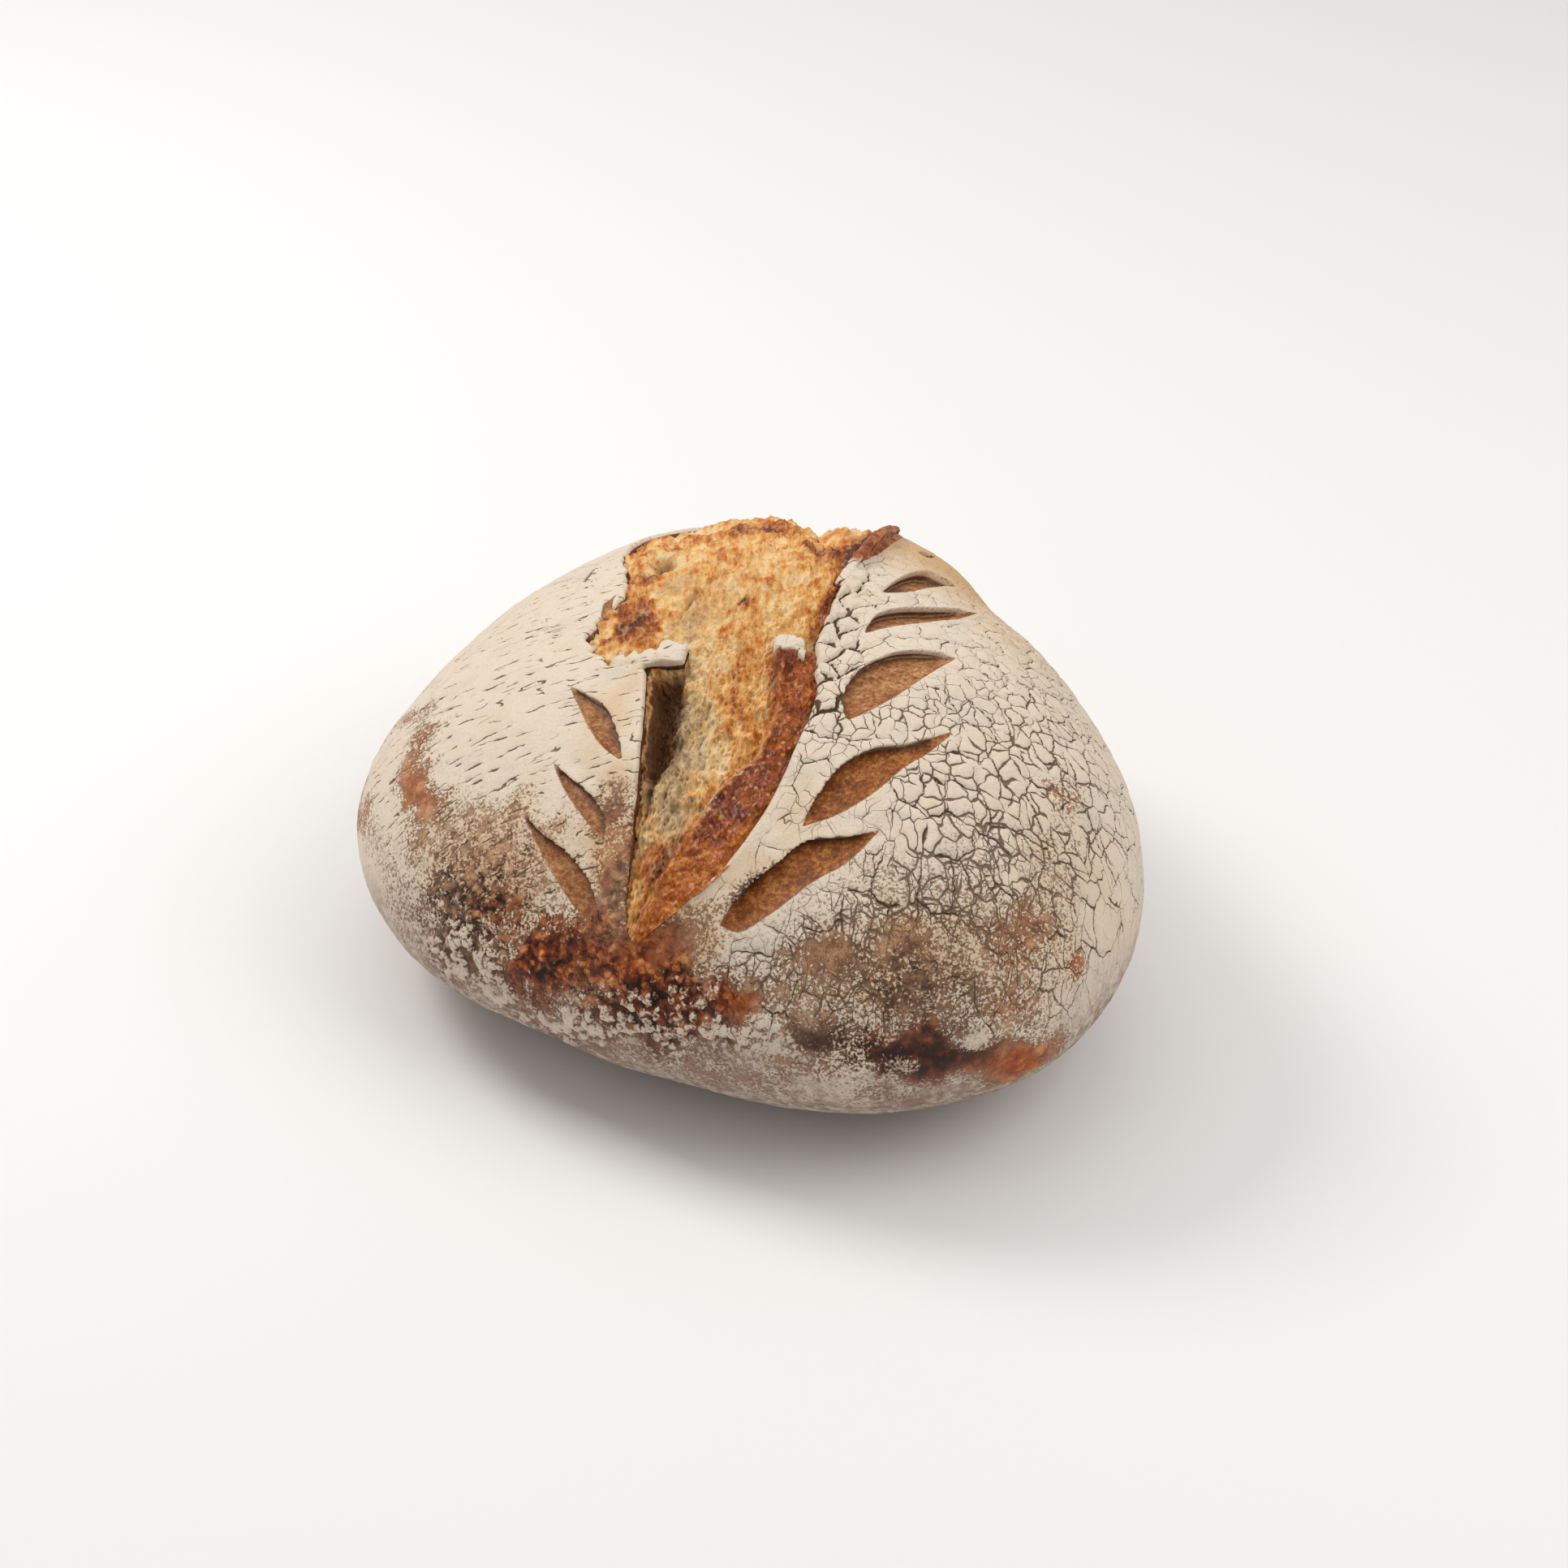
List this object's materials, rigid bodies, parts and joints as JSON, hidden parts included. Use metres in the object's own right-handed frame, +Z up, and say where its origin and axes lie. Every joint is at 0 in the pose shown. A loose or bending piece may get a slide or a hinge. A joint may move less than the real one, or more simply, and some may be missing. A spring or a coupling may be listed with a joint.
{
  "type": "sourdough loaf",
  "caption": "Round sourdough loaf with a floured, crackled crust, a wide burst that shows torn crumb and an ear, leaf-shaped slashes on both flanks, and a flat base to rest on.",
  "frame": {"origin": "on the surface that the loaf rests on, under the middle of its bounding box", "axes": "+Z up through the crown; +Y from the burst's front tip towards its back tip; +X towards the flank with the larger slashes"},
  "size_m": [0.2354, 0.2532, 0.1173],
  "materials": {
    "crust": "matt floured crust over caramelised brown, with pale golden torn crumb in the burst"
  },
  "bodies": {
    "root": {"loaf": "crust"}
  },
  "joints": []
}
